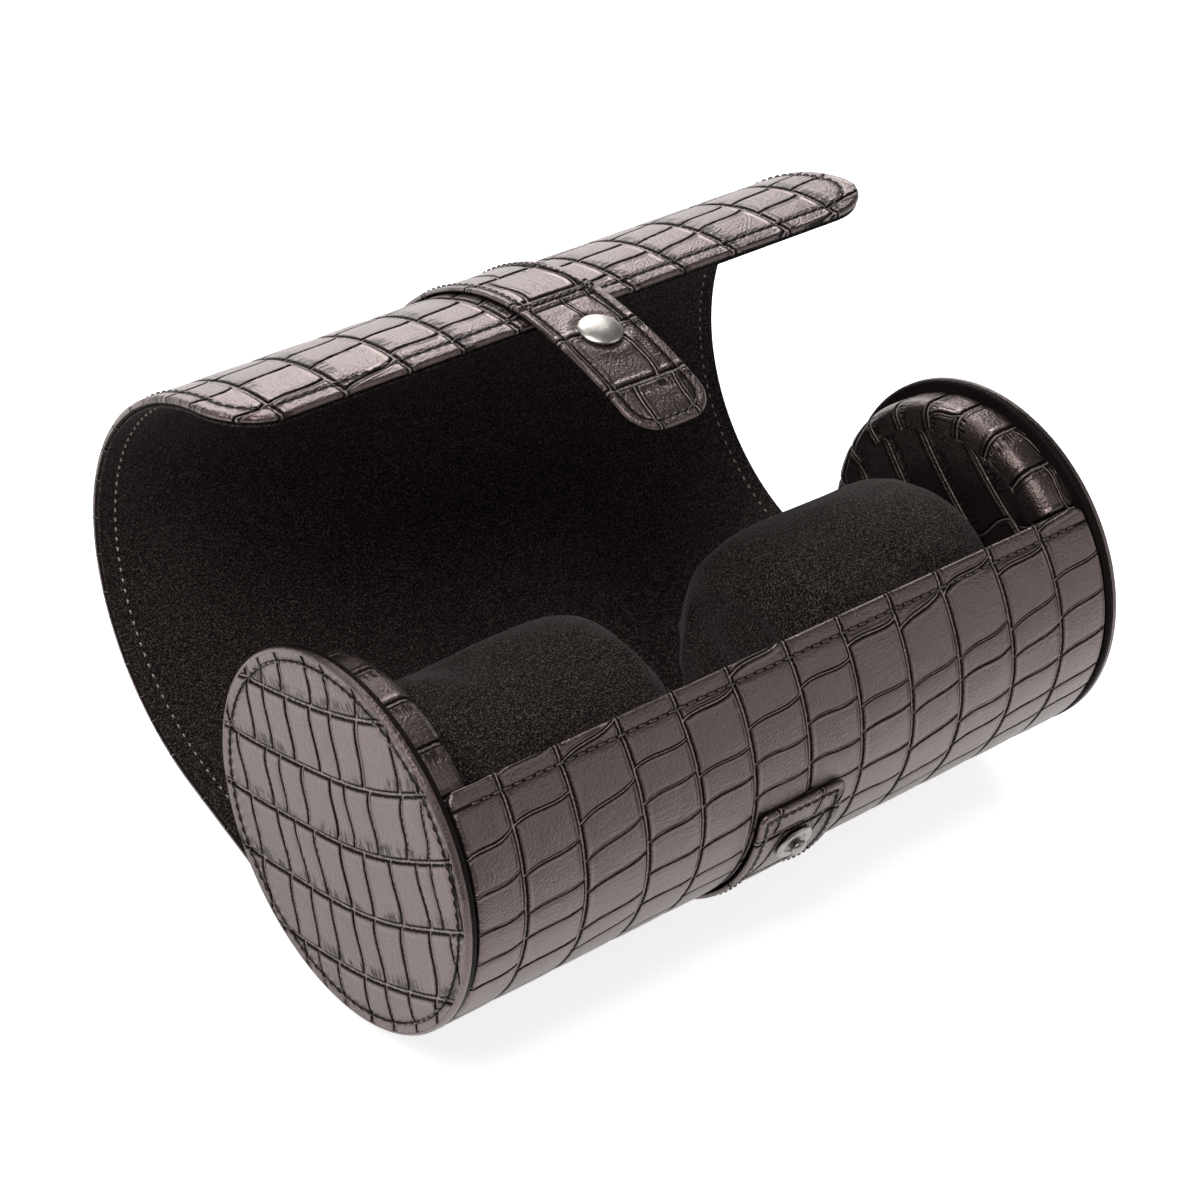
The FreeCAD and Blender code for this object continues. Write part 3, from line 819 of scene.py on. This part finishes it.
# Snap cap: a flat underside, a low rim and a dome that is flatter than a ball
SNAP_FOOT = (0.02, 0.9)
SNAP_RIM = 0.5 * MM
SNAP_EDGE = 0.35
SNAP_RISE = 1.0 * MM
DOME_SHARES = np.linspace(0.985, 0.004, 18)
DOME_BULGE = 2.6
DOME_CROWN = 0.75
snap_radius = node_size("snap_cap").x / 2
snap_profile = [(snap_radius * share, 0.0) for share in SNAP_FOOT]
snap_profile += [(snap_radius, SNAP_EDGE * SNAP_RIM), (snap_radius, SNAP_RIM)]
for share in DOME_SHARES:
    rise = (1 - share ** DOME_BULGE) ** DOME_CROWN
    snap_profile.append((snap_radius * share, SNAP_RIM + SNAP_RISE * rise))
snap_cap = lathe("snap_dome", snap_profile, wrap_point(STRAP_X, SNAP_S, -STRAP), wrap_normal(SNAP_S), NICKEL)
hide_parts("snap_cap")
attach(snap_cap, "tongue")

# Snap stud, with sizes in millimetres: a flange with a rolled rim, and a post with a round head
STUD_ANGLE = math.radians(88.2)
STUD_FOOT = ((0.1, 0.0), (4.3, 0.0), (4.5, 0.3))
ROLL_OVAL = (3.5, 0.25, 1.0, 0.62)
ROLL_TURNS = np.linspace(0.15, math.pi, 9)
STUD_HOLLOW = ((2.3, 0.1), (1.4, 0.08), (1.3, 0.3))
HEAD_OVAL = (0.0, 1.75, 1.9, 0.95)
HEAD_TURNS = np.linspace(-0.8, 1.5, 12)
stud_profile = [*STUD_FOOT, *oval_arc(ROLL_TURNS, *ROLL_OVAL)]
stud_profile += [*STUD_HOLLOW, *oval_arc(HEAD_TURNS, *HEAD_OVAL)]
stud_s = -STUD_ANGLE * RIM
stud = lathe("stud_turned", np.array(stud_profile) * MM, wrap_point(STRAP_X, stud_s, -STRAP),
             wrap_normal(stud_s), DULL_NICKEL)
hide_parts("snap_stud")
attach(stud, "base")

# End caps. Rows of an end face's rim past the border are marked as a seam, which keeps them dark.

TURNS = 420
BORDER = 5
CAP_ROUND = 0.9 * MM
ROUND_ROWS = 6
CAP_STEP = 0.55 * MM
CAP_MIDDLE = 0.15 * MM
CAP_FADE = 1.2 * MM
CAP_BACK = 0.85
FACE_BOW = 3.5
FACE_GRAIN = math.radians(-37)
INNER_GRAIN = math.radians(19)
FACE_SEED = 41
BAND_SEED = 53
INNER_SEED = 61
BAND_BEND = 3.2 * MM
BAND_TURNED = 6.0 * MM
STRAIGHT_ROWS = 9
BEND_ROWS = 10
TURNED_ROWS = 6


def round_face(name, face_x, way, radius, relief_of, rim_profile):
    """An embossed disc square to the case's axis, facing -X or +X; its rim is pairs of radius and inset."""
    radii = np.linspace(CAP_MIDDLE, radius, int(radius / CAP_STEP))
    angles = full_turn(TURNS)
    ring, turn = np.meshgrid(radii, angles, indexing="ij")
    relief = relief_of(ring * np.sin(turn), -ring * np.cos(turn))
    points = [cap_point(face_x - way * relief.dip, ring, turn).reshape(-1, 3)]
    flat_map = [relief.flat_map.reshape(-1, 2)]
    for rim_radius, inset in rim_profile:
        points.append(cap_point(face_x - way * inset, rim_radius, angles))
        flat_map.append(relief.flat_map[-1] * (rim_radius + inset) / radius)
    marks = {}
    for mark, values in relief.marks.items():
        rim = np.full(TURNS * len(rim_profile), NO_MARKS[mark])
        if mark == "seam":
            rim[BORDER * TURNS:] = 0.0
        marks[mark] = np.concatenate([values.ravel(), rim])
    faces = ring_faces(len(radii) + len(rim_profile), TURNS, way > 0)
    return make_object(name, np.concatenate(points), faces, LEATHER, np.concatenate(flat_map), marks)


def turned_scales(seed, angle, radius, sewn, sizes):
    """Scales on a disc, their long grooves at an angle to the case's bottom; a channel if it is sewn."""
    def relief_of(y, z):
        along = y * math.cos(angle) + z * math.sin(angle)
        across = z * math.cos(angle) - y * math.sin(angle)
        relief = scale_relief(across - FACE_BOW * along ** 2, along, seed, **sizes)
        to_edge = radius - np.hypot(y, z)
        relief.dip = relief.dip * np.clip(to_edge / CAP_FADE, 0, 1)
        if sewn:
            relief.dip += valley(to_edge - FACE_STITCH, *CHANNEL)
            relief.marks["seam"] = (to_edge - FACE_STITCH) / MM
        return relief
    return relief_of


def cap_band(side, sign):
    """Leatherette round a cap's core, turned over the inner edge onto the inner face."""
    low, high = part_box(f"{side}_cap_wrap")
    outer = (high.z - low.z) / 2
    depth = high.x - low.x
    start = depth - BAND_BEND
    profile = [(outer, inset) for inset in np.linspace(0, start, STRAIGHT_ROWS)]
    bend = np.linspace(0, math.pi / 2, BEND_ROWS)[1:]
    profile += oval_arc(bend, outer - BAND_BEND, start, BAND_BEND, BAND_BEND)
    turned_radii = np.linspace(outer - BAND_BEND, outer - BAND_TURNED, TURNED_ROWS)[1:]
    profile += [(radius, depth) for radius in turned_radii]
    profile = np.array(profile)
    length = np.concatenate([[0], np.cumsum(np.hypot(*np.diff(profile, axis=0).T))])
    angles = np.tile(full_turn(TURNS), (len(profile), 1))
    along = np.repeat(length, TURNS).reshape(-1, TURNS)
    relief = scale_relief(angles * outer, along, BAND_SEED + sign, **BAND_SCALES)
    slope = np.gradient(profile, axis=0)
    slope /= np.linalg.norm(slope, axis=1, keepdims=True)
    radius = profile[:, :1] - relief.dip * slope[:, 1:]
    inset = profile[:, 1:] + relief.dip * slope[:, :1]
    points = cap_point(sign * (FACE_X - FACE_DEPTH - inset), radius, angles).reshape(-1, 3)
    marks = {mark: values.ravel() for mark, values in relief.marks.items()}
    faces = ring_faces(len(profile), TURNS, sign > 0)
    return make_object(f"{side}_band", points, faces, LEATHER, relief.flat_map.reshape(-1, 2), marks)


bends = np.linspace(0, math.pi / 2, ROUND_ROWS)
rim_profile = oval_arc(bends[1:] - math.pi / 2, RIM - CAP_ROUND, CAP_ROUND, CAP_ROUND, CAP_ROUND)
rim_profile += [(RIM, FACE_DEPTH / 2)]
rim_profile += oval_arc(bends, RIM - CAP_ROUND, FACE_DEPTH - CAP_ROUND, CAP_ROUND, CAP_ROUND)
rim_profile += [(CAP_BACK * RIM, FACE_DEPTH)]
for side, sign in SIDES:
    face = round_face(f"{side}_face", sign * FACE_X, sign, RIM - CAP_ROUND,
                      turned_scales(FACE_SEED + sign, FACE_GRAIN, RIM, True, FACE_SCALES), rim_profile)
    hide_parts(f"{side}_cap_face")
    band = cap_band(side, sign)
    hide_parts(f"{side}_cap_wrap")
    lining_low, lining_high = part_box(f"{side}_cap_lining")
    inner_x = sign * min(abs(lining_low.x), abs(lining_high.x))
    inner_radius = (lining_high.z - lining_low.z) / 2
    inner = round_face(f"{side}_inner_face", inner_x, -sign, inner_radius,
                       turned_scales(INNER_SEED + sign, INNER_GRAIN, inner_radius, False, INNER_SCALES), [])
    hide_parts(f"{side}_cap_lining")
    for piece in (face, band, inner):
        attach(piece, "base")

# Stitches

THREAD = 0.21 * MM
THREAD_SIDES = 6
SEWN = 0.15 * MM
EDGE_SEWING = {"pitch": 2.5 * MM, "length": 1.9 * MM}
LINING_SEWING = {"pitch": 2.5 * MM, "length": 1.0 * MM}
STRAP_SEWING = {"pitch": 2.0 * MM, "length": 1.5 * MM}
LINING_STITCH = STITCH_INSET + 0.6 * MM
LINING_SEWN = 0.2 * MM
KNOT = 1.3 * MM
KNOT_ROW = 0.55 * KNOT

# Places along a stitch, with the height of its middle and its girth there
STITCH_SHARES = np.array([0.0, 0.16, 0.5, 0.84, 1.0])
STITCH_HEIGHTS = np.array([-0.12, 0.16, 0.26, 0.16, -0.12]) * MM
STITCH_GIRTHS = np.array([0.7, 1.0, 1.05, 1.0, 0.7]) * THREAD


def stitch_mesh(name, starts, ends, normals, material):
    """Short threads that rise from the surface at one end and dip back in at the other."""
    along = ends - starts
    along /= np.linalg.norm(along, axis=1, keepdims=True)
    across = np.cross(normals, along)
    angles = full_turn(THREAD_SIDES)
    points = np.empty((len(starts), len(STITCH_SHARES), THREAD_SIDES, 3))
    for row, (share, height, girth) in enumerate(zip(STITCH_SHARES, STITCH_HEIGHTS, STITCH_GIRTHS)):
        centre = starts + (ends - starts) * share + normals * height
        for column, angle in enumerate(angles):
            points[:, row, column] = centre + girth * (math.cos(angle) * across + math.sin(angle) * normals)
    quads = ring_faces(len(STITCH_SHARES), THREAD_SIDES, True)
    offsets = np.arange(len(starts)) * points[0, ..., 0].size
    faces = (quads[None] + offsets[:, None, None]).reshape(-1, 4)
    return make_object(name, points.reshape(-1, 3), faces, material)


def along_path(path, pitch, length):
    """Start and end of each stitch along a line laid flat."""
    path = np.asarray(path, float)
    steps = np.hypot(*np.diff(path, axis=0).T)
    travelled = np.concatenate([[0], np.cumsum(steps)])
    count = int(travelled[-1] / pitch)
    margin = (travelled[-1] - count * pitch) / 2
    begin = margin + pitch * np.arange(count) + (pitch - length) / 2

    def at(distance):
        return np.stack([np.interp(distance, travelled, path[:, k]) for k in (0, 1)], axis=-1)

    return at(begin), at(begin + length)


def sew_wrap(name, paths, depth, outward, material, sewing, tongue_part=False):
    """Rows of stitches on the wrap, in one mesh for each link of the chain that they lie on."""
    starts, ends = (np.concatenate(part) for part in zip(*[along_path(path, **sewing) for path in paths]))
    middle_s = (starts[:, 1] + ends[:, 1]) / 2
    links = np.searchsorted(SEAMS, middle_s)
    way = 1.0 if outward else -1.0
    for link in np.unique(links):
        chosen = links == link
        first = wrap_point(starts[chosen, 0], starts[chosen, 1], depth)
        last = wrap_point(ends[chosen, 0], ends[chosen, 1], depth)
        obj = stitch_mesh(f"{name}_{link + 1}", first, last, way * wrap_normal(middle_s[chosen]), material)
        if tongue_part:
            bend_tongue(obj)
        else:
            bend_over(obj, int(link))


lid_line = wrap_outline.u_path(STITCH_INSET, HINGE_A_Y)
front_line = [(way * (HALF_WRAP - STITCH_INSET), FRONT_S + STITCH_INSET) for way in (-1, 1)]
sew_wrap("edge_stitches", [lid_line, front_line], SEWN, True, BLACK_THREAD, EDGE_SEWING)
lining_line = wrap_outline.u_path(LINING_STITCH, HINGE_A_Y)
sew_wrap("lining_stitches", [lining_line], WRAP - LINING_SEWN, False, PALE_THREAD, LINING_SEWING)
left_x, right_x = [STRAP_X + way * (STRAP_HALF - STRAP_STITCH) for way in (-1, 1)]
strap_sides = [[(x, HINGE_A_Y), (x, STRAP_END)] for x in (left_x, right_x)]
tab_outline = Outline(TAB_S, HINGE_A_Y, TAB_HALF, STRAP_X, TAB_CORNER, 0.0)
tab_line = tab_outline.u_path(STRAP_STITCH, 0.0, at_last=False)
sew_wrap("strap_stitches", [*strap_sides, tab_line], -STRAP + SEWN, True, BLACK_THREAD, STRAP_SEWING)
tongue_line = tongue_outline.u_path(STRAP_STITCH, STRAP_END)
cross_line = [(left_x, STRAP_END), (right_x, STRAP_END)]
knots = []
for x in (left_x, right_x):
    for slant in (-KNOT, KNOT):
        for place in (STRAP_END - KNOT_ROW, STRAP_END + KNOT_ROW):
            knots.append([(x + slant, place - KNOT), (x - slant, place + KNOT)])
tongue_lines = [tongue_line, cross_line, *knots]
sew_wrap("tongue_stitches", tongue_lines, -STRAP + SEWN, True, BLACK_THREAD, STRAP_SEWING, tongue_part=True)
for side, sign in SIDES:
    radius = RIM - FACE_STITCH
    count = int(math.tau * radius / EDGE_SEWING["pitch"])
    begin = full_turn(count)
    first = cap_point(sign * (FACE_X - SEWN), radius, begin)
    last = cap_point(sign * (FACE_X - SEWN), radius, begin + EDGE_SEWING["length"] / radius)
    outward = np.tile((sign, 0.0, 0.0), (count, 1))
    ring = stitch_mesh(f"{side}_face_stitches", first, last, outward, BLACK_THREAD)
    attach(ring, "base")

# Pillows

PILLOW_START = 0.97
PILLOW_RINGS = 40
PILLOW_TURNS = 96
PILLOW_SEEDS = {"left": 71, "right": 72}
END_SQUARENESS = 7
END_ROUNDING = 4.5
OVAL_POWER = 2 / 2.3
RUCK = 0.012
RUCK_WOBBLE = (1.0, 26)
RUCK_ALONG = 30
RUCK_AROUND = 25
END_SEAM = 0.87
SEAM_REACH = 0.04
CLOTH_CELL = 4.0 * MM
CLOTH_FRAMES = 20
STUFFING_LIMIT = 1.4 * MM
CLOTH = {
    "vertex_group_mass": "sewn",
    "use_pressure": True,
    "uniform_pressure_force": 4.0,
    "shrink_min": -0.06,
    "mass": 0.01,
    "tension_stiffness": 5.0,
    "compression_stiffness": 5.0,
}


def places(mesh):
    return np.array([vertex.co for vertex in mesh.vertices])


def apply_modifiers(obj):
    graph = bpy.context.evaluated_depsgraph_get()
    obj.data = bpy.data.meshes.new_from_object(obj.evaluated_get(graph))
    obj.modifiers.clear()


def stuff(obj, held):
    """Fills a closed form by pressure, as cloth that is sewn at the held points and moves within a limit."""
    remesh = obj.modifiers.new("remesh", "REMESH")
    remesh.mode = "VOXEL"
    remesh.voxel_size = CLOTH_CELL
    apply_modifiers(obj)
    before = places(obj.data)
    group = obj.vertex_groups.new(name="sewn")
    group.add([int(index) for index in np.flatnonzero(held(before))], 1.0, "REPLACE")
    cloth = obj.modifiers.new("cloth", "CLOTH")
    for setting, value in CLOTH.items():
        setattr(cloth.settings, setting, value)
    cloth.settings.effector_weights.gravity = 0.0
    for number in range(1, CLOTH_FRAMES + 1):
        scene.frame_set(number)
    graph = bpy.context.evaluated_depsgraph_get()
    moved = places(obj.evaluated_get(graph).data) - before
    scene.frame_set(1)
    obj.modifiers.clear()
    length = np.linalg.norm(moved, axis=1, keepdims=True)
    after = before + moved * np.minimum(1, STUFFING_LIMIT / np.maximum(length, TINY))
    obj.data.vertices.foreach_set("co", after.ravel())
    obj.vertex_groups.clear()
    smooth = obj.modifiers.new("smooth", "SUBSURF")
    smooth.levels = 1
    apply_modifiers(obj)
    obj.data.polygons.foreach_set("use_smooth", np.ones(len(obj.data.polygons), dtype=bool))


def oval(values):
    """Sine or cosine values, squared off a little."""
    return np.sign(values) * np.abs(values) ** OVAL_POWER


def pillow(side):
    """A stuffed velvet pillow, swelled by its filling between the end seams."""
    cover = f"{side}_pillow_cover"
    low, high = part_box(cover)
    centre = (low + high) / 2
    slide = next(j for j in frame["record"]["behaviour"]["joints"] if j["name"] == f"{side}_pillow_lift")
    up = Vector(slide["axis"]).normalized()
    along = Vector((1, 0, 0))
    across = along.cross(up)
    solid = places(frame["nodes"][cover].data) - np.array(centre)
    halves = [np.abs(solid @ np.array(axis)).max() for axis in (along, across, up)]
    half_length, half_width, half_height = halves
    shares = -np.cos(np.linspace(0.0, math.pi, PILLOW_RINGS))
    angles = full_turn(PILLOW_TURNS)
    share, angle = np.meshgrid(shares, angles, indexing="ij")
    swell = PILLOW_START * (1 - np.abs(share) ** END_SQUARENESS) ** (1 / END_ROUNDING)
    rng = np.random.default_rng(PILLOW_SEEDS[side])
    swell = swell * (1 + RUCK * waves(share * RUCK_ALONG, angle * RUCK_AROUND, rng, *RUCK_WOBBLE))
    points = np.array(centre) + np.multiply.outer(PILLOW_START * half_length * share, along)
    points += np.multiply.outer(half_width * swell * oval(np.cos(angle)), across)
    points += np.multiply.outer(half_height * swell * oval(np.sin(angle)), up)
    quads = ring_faces(PILLOW_RINGS, PILLOW_TURNS, False)
    obj = make_object(f"{side}_pillow", points.reshape(-1, 3), quads, VELVET)

    def at_end_seam(points):
        return np.abs(np.abs(points[:, 0] - centre.x) / half_length - END_SEAM) < SEAM_REACH

    stuff(obj, at_end_seam)
    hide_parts(cover, f"{side}_pillow_core")
    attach(obj, f"{side}_pillow")


for side, _ in SIDES:
    pillow(side)

# Room: white floor, soft lights and a dim surround that the camera sees as white

FLOOR = 6.0
FLOOR_GLOW = 0.7
SURROUND_LIGHT = 0.12
LIGHT_TARGET = Vector((0.0, 0.02, 0.05))
floor_mesh = bpy.data.meshes.new("floor")
floor_corners = [(-FLOOR, -FLOOR, 0), (FLOOR, -FLOOR, 0), (FLOOR, FLOOR, 0), (-FLOOR, FLOOR, 0)]
floor_mesh.from_pydata(floor_corners, [], [(0, 1, 2, 3)])
floor = new_object("floor", floor_mesh)
paper, paper_tree, paper_shader = node_material("paper")
rays = add_node(paper_tree, "LightPath").outputs
shiny = maths(paper_tree, "MAXIMUM", rays["Is Glossy Ray"], rays["Is Transmission Ray"])
shown = maths(paper_tree, "MAXIMUM", rays["Is Camera Ray"], shiny)
set_inputs(paper_tree, paper_shader, {
    "Base Color": (0.93, 0.93, 0.93, 1),
    "Roughness": 0.9,
    "Specular IOR Level": 0.1,
    "Emission Color": (1, 1, 1, 1),
    "Emission Strength": maths(paper_tree, "MULTIPLY", shown, FLOOR_GLOW),
})
floor_mesh.materials.append(paper)

world = bpy.data.worlds.new("surround")
world.use_nodes = True
scene.world = world
surround = world.node_tree
seen = add_node(surround, "LightPath").outputs["Is Camera Ray"]
set_inputs(surround, surround.nodes["Background"], {
    "Color": (1, 1, 1, 1),
    "Strength": maths(surround, "MAXIMUM", seen, SURROUND_LIGHT),
})


def area_light(name, place, size, watts):
    """A soft light that faces the case."""
    data = bpy.data.lights.new(name, "AREA")
    data.shape = "RECTANGLE"
    data.size, data.size_y = size
    data.energy = watts
    obj = new_object(name, data)
    obj.location = place
    obj.rotation_euler = (LIGHT_TARGET - Vector(place)).to_track_quat("-Z", "Y").to_euler()


area_light("key_softbox", place=(-0.55, 0.15, 0.95), size=(0.6, 0.6), watts=10.0)
area_light("front_softbox", place=(0.62, -0.70, 0.65), size=(0.9, 0.9), watts=3.0)
area_light("back_softbox", place=(0.40, 1.03, 0.44), size=(0.7, 0.55), watts=9.5)

# Camera, as fitted to the photograph
CAMERA_PLACE = (-0.3704, -0.2550, 0.5333)
CAMERA_FORWARD = (0.545, 0.4167, -0.7275)
CAMERA_RIGHT = (0.770, -0.592, 0.238)
camera_data = bpy.data.cameras.new("camera")
camera_data.lens = 96.8
camera_data.sensor_width = 36.0
camera = new_object("camera", camera_data)
forward = Vector(CAMERA_FORWARD).normalized()
right = Vector(CAMERA_RIGHT)
right = (right - forward * right.dot(forward)).normalized()
turned = Matrix((right, right.cross(forward), -forward)).transposed()
camera.matrix_world = Matrix.Translation(CAMERA_PLACE) @ turned.to_4x4()
scene.camera = camera
scene.view_settings.view_transform = "Standard"
